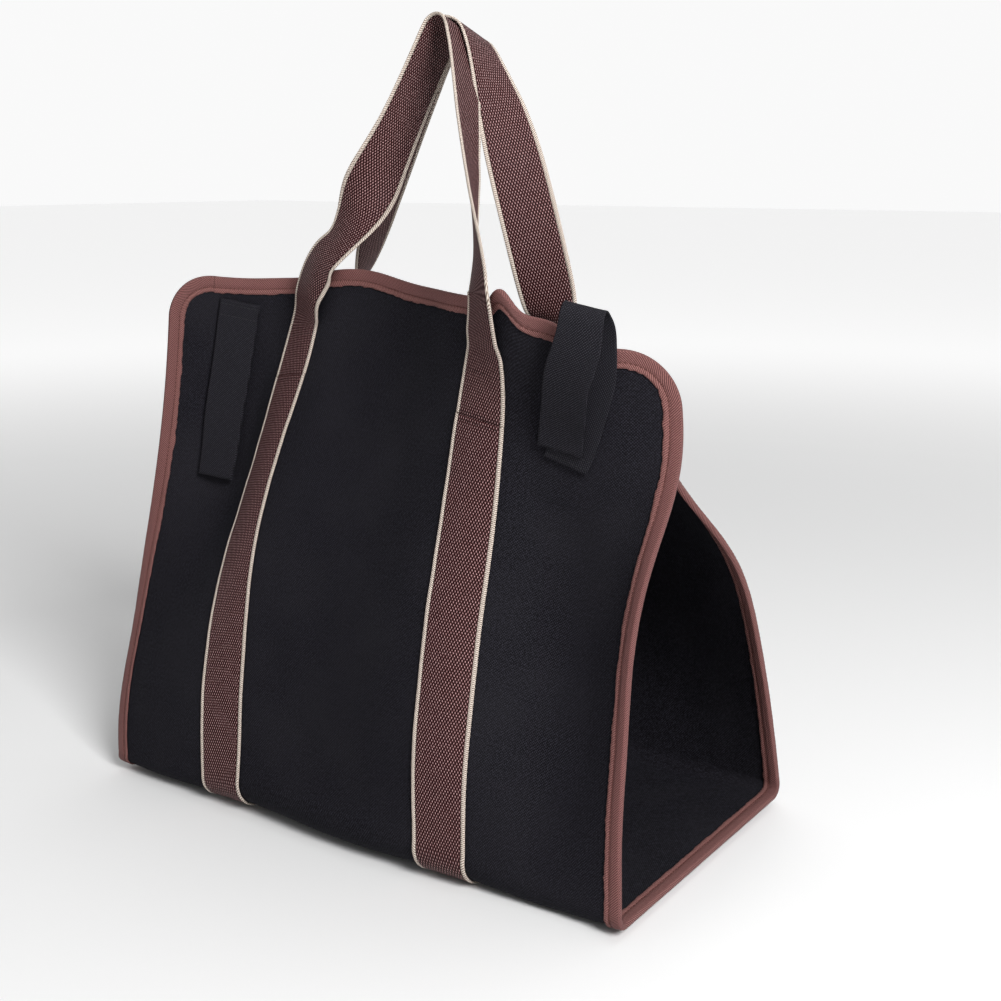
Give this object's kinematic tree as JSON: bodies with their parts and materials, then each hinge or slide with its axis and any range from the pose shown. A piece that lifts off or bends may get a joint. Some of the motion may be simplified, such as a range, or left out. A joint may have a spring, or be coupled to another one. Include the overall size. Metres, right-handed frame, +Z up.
{
  "type": "firewood carrier bag",
  "caption": "Open-ended canvas log carrier: one bound cloth sheet folded under the load, webbing bands and top handles, closing tabs; shown hanging from its handles.",
  "frame": {"origin": "the point under the middle of the handles' top bend where the carrier hangs", "axes": "+Z up, +X along the width of the carrier, parallel to the folds of its base, -Y toward the front panel"},
  "size_m": [0.4707, 0.2722, 0.56],
  "materials": {
    "canvas": "black cotton canvas, plain weave, matt",
    "binding_tape": "reddish brown twill tape, matt",
    "webbing": "dark reddish brown pebble-weave webbing with cream edge cords",
    "tab_tape": "black hook-and-loop tape, matt"
  },
  "bodies": {
    "root": {"canvas_body": "canvas", "edge_binding": "binding_tape", "band_left": "webbing", "band_right": "webbing", "handle_front": "webbing", "handle_back": "webbing", "tab_left": "tab_tape", "tab_right": "tab_tape"}
  },
  "joints": []
}
